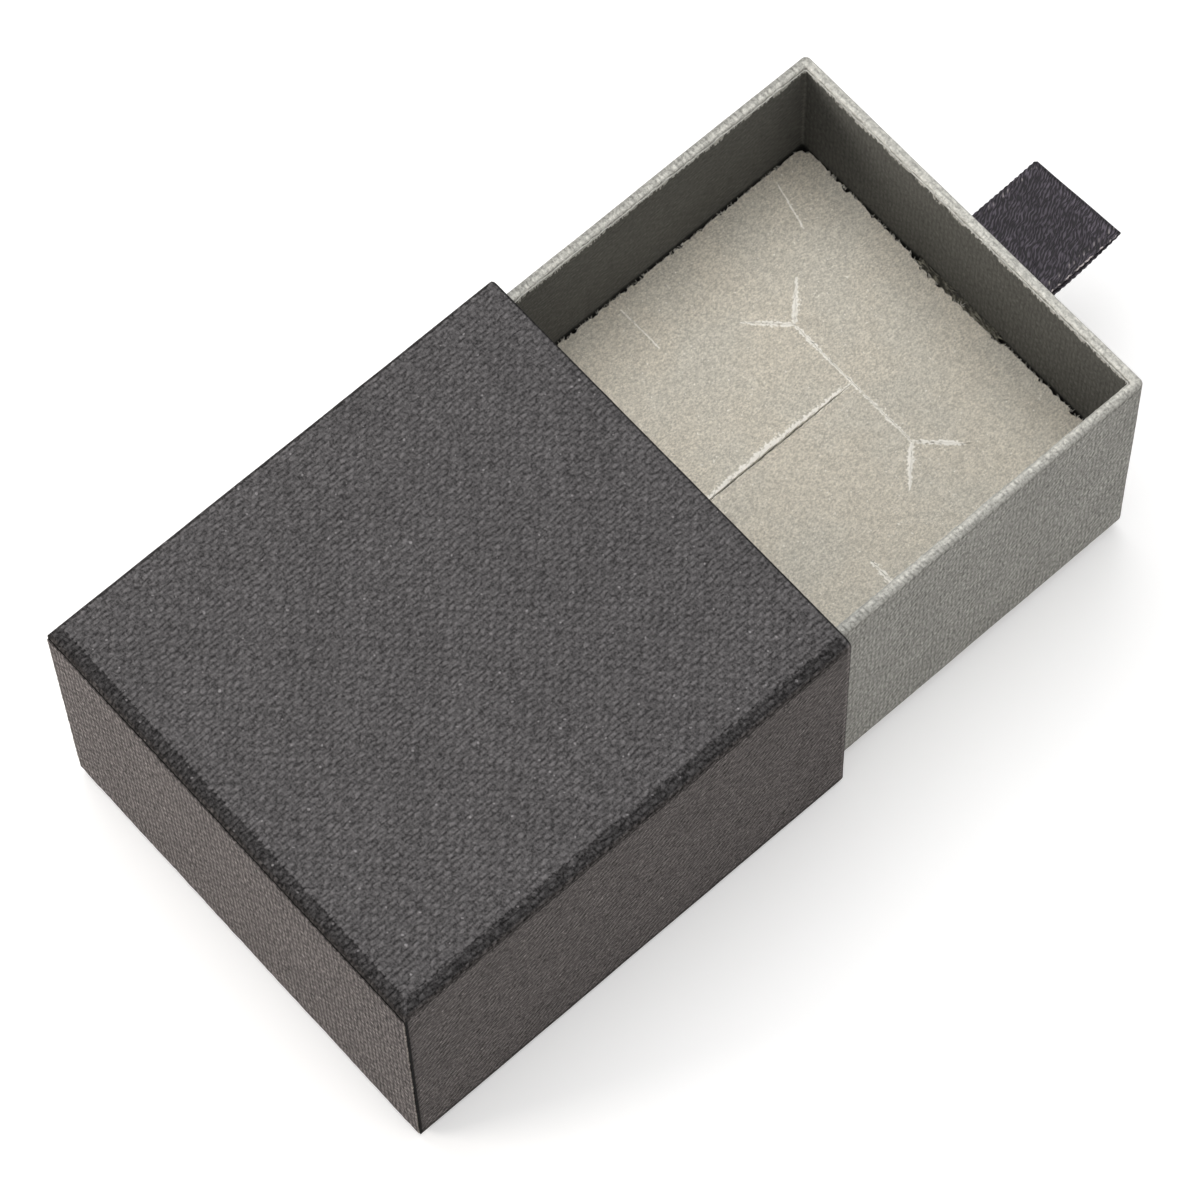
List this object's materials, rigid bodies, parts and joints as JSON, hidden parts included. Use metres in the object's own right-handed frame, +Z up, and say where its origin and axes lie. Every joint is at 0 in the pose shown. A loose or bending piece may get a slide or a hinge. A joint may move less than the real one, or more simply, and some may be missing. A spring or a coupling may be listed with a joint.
{
  "type": "sliding drawer gift box",
  "caption": "Small rigid paperboard box: a sleeve closed at one end, and a drawer with a slit flocked insert that slides out by a doubled ribbon tab.",
  "frame": {"origin": "middle of the sleeve's underside, on the surface that the box stands on", "axes": "+Z up, -Y the way the drawer slides out of the sleeve's mouth, +X to the right of a person who faces the mouth"},
  "size_m": [0.06, 0.1292, 0.041],
  "materials": {
    "greyboard": "matte",
    "charcoal_linen": "matte",
    "grey_linen": "matte",
    "black_paper": "matte",
    "dark_liner": "matte",
    "pale_velour": "matte",
    "pale_foam": "matte",
    "satin": "satin"
  },
  "bodies": {
    "sleeve": {"sleeve_top_board": "greyboard", "sleeve_bottom_board": "greyboard", "sleeve_left_board": "greyboard", "sleeve_right_board": "greyboard", "sleeve_end_board": "greyboard", "sleeve_cover_paper": "charcoal_linen", "sleeve_end_paper": "charcoal_linen", "sleeve_base_paper": "charcoal_linen", "sleeve_wall_lining": "black_paper", "sleeve_end_lining": "black_paper"},
    "drawer": {"drawer_base_board": "greyboard", "drawer_left_board": "greyboard", "drawer_right_board": "greyboard", "drawer_front_board": "greyboard", "drawer_back_board": "greyboard", "drawer_cover_paper": "grey_linen", "drawer_base_paper": "grey_linen", "drawer_wall_liner": "dark_liner", "drawer_floor_liner": "dark_liner", "insert_velour": "pale_velour", "insert_foam": "pale_foam", "insert_riser": "greyboard", "pull_ribbon": "satin"}
  },
  "joints": [
    {"name": "drawer_slide", "type": "slide", "parent": "sleeve", "child": "drawer", "axis": [0, -1, 0], "range_m": [-0.0462, 0.0117]}
  ]
}
